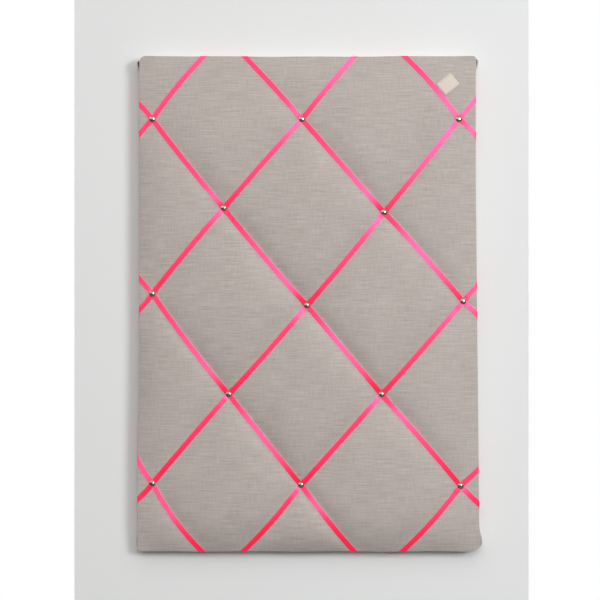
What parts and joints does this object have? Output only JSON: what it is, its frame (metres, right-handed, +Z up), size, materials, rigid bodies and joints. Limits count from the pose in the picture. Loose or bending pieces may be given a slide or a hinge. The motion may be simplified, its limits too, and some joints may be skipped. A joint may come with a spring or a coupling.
{
  "type": "memo board",
  "caption": "Padded linen memo board with crossed satin ribbons pinned by domed studs, for tucking notes and photos under, hung on a wall by D-rings on its back.",
  "frame": {"origin": "middle of the lining's outer face, which lies against the wall", "axes": "+X to the right seen from the front, +Z up, the padded front faces -Y and the back faces +Y"},
  "size_m": [0.4074, 0.028, 0.5954],
  "materials": {
    "linen": "plain-woven taupe linen",
    "satin_ribbon": "pink satin",
    "wadding": "white polyester wadding",
    "felt": "needled felt",
    "label_cloth": "cream cotton tape",
    "fibreboard": "raw medium-density fibreboard",
    "nickel": "polished nickel plate",
    "steel": "bright zinc-plated steel"
  },
  "bodies": {
    "board": {"core_panel": "fibreboard", "wadding_pad": "wadding", "linen_cover": "linen", "ribbon_fall_1": "satin_ribbon", "ribbon_fall_2": "satin_ribbon", "ribbon_fall_3": "satin_ribbon", "ribbon_fall_4": "satin_ribbon", "ribbon_fall_5": "satin_ribbon", "ribbon_rise_1": "satin_ribbon", "ribbon_rise_2": "satin_ribbon", "ribbon_rise_3": "satin_ribbon", "ribbon_rise_4": "satin_ribbon", "ribbon_rise_5": "satin_ribbon", "stud_1": "nickel", "stud_2": "nickel", "stud_3": "nickel", "stud_4": "nickel", "stud_5": "nickel", "stud_6": "nickel", "stud_7": "nickel", "stud_8": "nickel", "stud_9": "nickel", "stud_10": "nickel", "stud_11": "nickel", "stud_12": "nickel", "stud_13": "nickel", "label_patch": "label_cloth", "ribbon_staple_1": "steel", "ribbon_staple_2": "steel", "ribbon_staple_3": "steel", "ribbon_staple_4": "steel", "ribbon_staple_5": "steel", "ribbon_staple_6": "steel", "ribbon_staple_7": "steel", "ribbon_staple_8": "steel", "ribbon_staple_9": "steel", "ribbon_staple_10": "steel", "ribbon_staple_11": "steel", "ribbon_staple_12": "steel", "ribbon_staple_13": "steel", "ribbon_staple_14": "steel", "ribbon_staple_15": "steel", "ribbon_staple_16": "steel", "ribbon_staple_17": "steel", "ribbon_staple_18": "steel", "ribbon_staple_19": "steel", "ribbon_staple_20": "steel", "back_lining": "felt", "hanger_strap_left": "steel", "hanger_strap_right": "steel", "hanger_screw_left": "steel", "hanger_screw_right": "steel"},
    "ring_left": {"hanger_ring_left": "steel"},
    "ring_right": {"hanger_ring_right": "steel"}
  },
  "joints": [
    {"name": "ring_left_swing", "type": "hinge", "parent": "board", "child": "ring_left", "pos_m": [-0.128, -0.0024, 0.185], "axis": [-1, 0, 0], "range_deg": [0, 170]},
    {"name": "ring_right_swing", "type": "hinge", "parent": "board", "child": "ring_right", "pos_m": [0.128, -0.0024, 0.185], "axis": [-1, 0, 0], "range_deg": [0, 170]}
  ]
}
